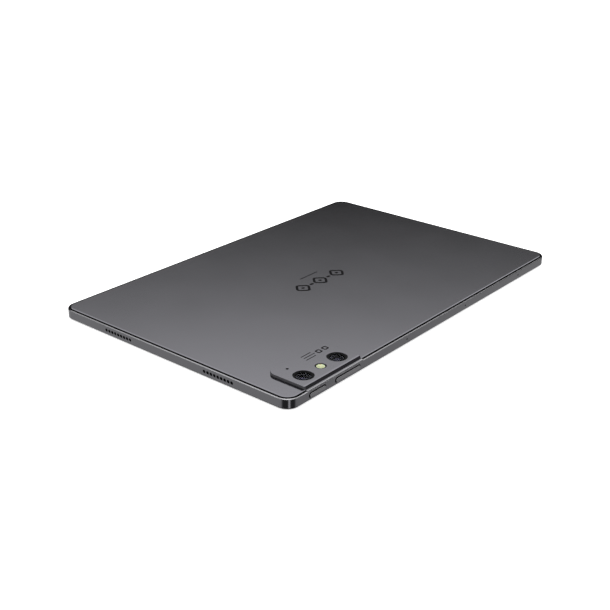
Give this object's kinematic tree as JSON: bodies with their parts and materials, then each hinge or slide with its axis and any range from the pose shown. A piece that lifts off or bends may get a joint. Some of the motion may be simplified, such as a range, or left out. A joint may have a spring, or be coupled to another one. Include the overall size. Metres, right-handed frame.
{
  "type": "tablet computer",
  "caption": "Thin slab tablet with a metal rear cover, raised camera island in one corner, side buttons that travel and a sliding card tray.",
  "frame": {"origin": "on the front of the display glass, in the middle of the body's outline", "axes": "+X along the long side away from the camera end, +Y along the short side away from the buttons, +Z out of the rear cover"},
  "size_m": [0.28, 0.1855, 0.0089],
  "materials": {
    "frame_metal": "dark grey satin anodised, bead blasted",
    "cover_metal": "dark grey matt anodised",
    "button_metal": "dark grey satin anodised",
    "front_glass": "clear glass with a black printed border",
    "adhesive_foam": "black foam and woven mesh",
    "sheet_steel": "bright pressed sheet",
    "display_film": "display switched off",
    "flex_film": "amber polyimide film",
    "black_plastic": "moulded matt black",
    "lens_trim": "black anodised",
    "lens_glass": "coated clear glass",
    "flash_lens": "pale yellow diffusing lens",
    "circuit_board": "solder-masked laminate",
    "graphite": "graphite film",
    "battery_wrap": "soft pack in a dark wrap",
    "plate_metal": "raw rolled sheet",
    "backlight_film": "white and silver film stack"
  },
  "bodies": {
    "tablet_body": {"antenna_1": "black_plastic", "antenna_2": "black_plastic", "backlight_unit": "backlight_film", "battery_cell_1": "battery_wrap", "battery_cell_2": "battery_wrap", "battery_connector": "circuit_board", "board_screw_1": "sheet_steel", "board_screw_2": "sheet_steel", "board_screw_3": "sheet_steel", "board_screw_4": "sheet_steel", "button_bracket": "sheet_steel", "camera_island": "cover_metal", "camera_module_1": "black_plastic", "camera_module_2": "black_plastic", "card_socket": "sheet_steel", "display_flex": "flex_film", "display_panel": "display_film", "edge_microphone_1": "sheet_steel", "edge_microphone_2": "sheet_steel", "edge_microphone_3": "sheet_steel", "flash_diffuser": "flash_lens", "flash_led": "circuit_board", "front_camera": "black_plastic", "front_glass": "front_glass", "glass_adhesive": "adhesive_foam", "heat_spreader": "graphite", "lens_ring_1": "lens_trim", "lens_ring_2": "lens_trim", "lens_window_1": "lens_glass", "lens_window_2": "lens_glass", "light_sensor": "black_plastic", "link_flex": "flex_film", "main_board": "circuit_board", "mid_plate": "plate_metal", "port_board": "circuit_board", "port_screw_1": "sheet_steel", "port_screw_2": "sheet_steel", "port_shell": "sheet_steel", "port_tongue": "black_plastic", "power_switch": "sheet_steel", "processor_shield": "sheet_steel", "radio_shield": "sheet_steel", "rear_cover": "cover_metal", "rear_microphone": "sheet_steel", "side_frame": "frame_metal", "speaker_1": "black_plastic", "speaker_2": "black_plastic", "speaker_3": "black_plastic", "speaker_4": "black_plastic", "speaker_mesh_1": "adhesive_foam", "speaker_mesh_2": "adhesive_foam", "speaker_mesh_3": "adhesive_foam", "speaker_mesh_4": "adhesive_foam", "volume_down_switch": "sheet_steel", "volume_up_switch": "sheet_steel"},
    "power_button": {"power_button": "button_metal"},
    "volume_rocker": {"volume_rocker": "button_metal"},
    "card_tray": {"card_tray": "frame_metal"},
    "lens_barrel_1": {"lens_barrel_1": "lens_trim"},
    "lens_barrel_2": {"lens_barrel_2": "lens_trim"}
  },
  "joints": [
    {"name": "power_press", "type": "slide", "parent": "tablet_body", "child": "power_button", "axis": [0, 1, 0], "range_m": [0, 0.00025], "stiffness_N_per_m": 50},
    {"name": "volume_rock", "type": "hinge", "parent": "tablet_body", "child": "volume_rocker", "pos_m": [-0.0898, -0.0893, 0.00365], "axis": [0, 0, 1], "range_deg": [-1.4, 1.4], "stiffness_Nm_per_rad": 0.002},
    {"name": "tray_slide", "type": "slide", "parent": "tablet_body", "child": "card_tray", "axis": [0, 1, 0], "range_m": [0, 0.024]},
    {"name": "focus_1", "type": "slide", "parent": "tablet_body", "child": "lens_barrel_1", "axis": [0, 0, 1], "range_m": [0, 0.0003], "stiffness_N_per_m": 10},
    {"name": "focus_2", "type": "slide", "parent": "tablet_body", "child": "lens_barrel_2", "axis": [0, 0, 1], "range_m": [0, 0.0003], "stiffness_N_per_m": 10}
  ]
}
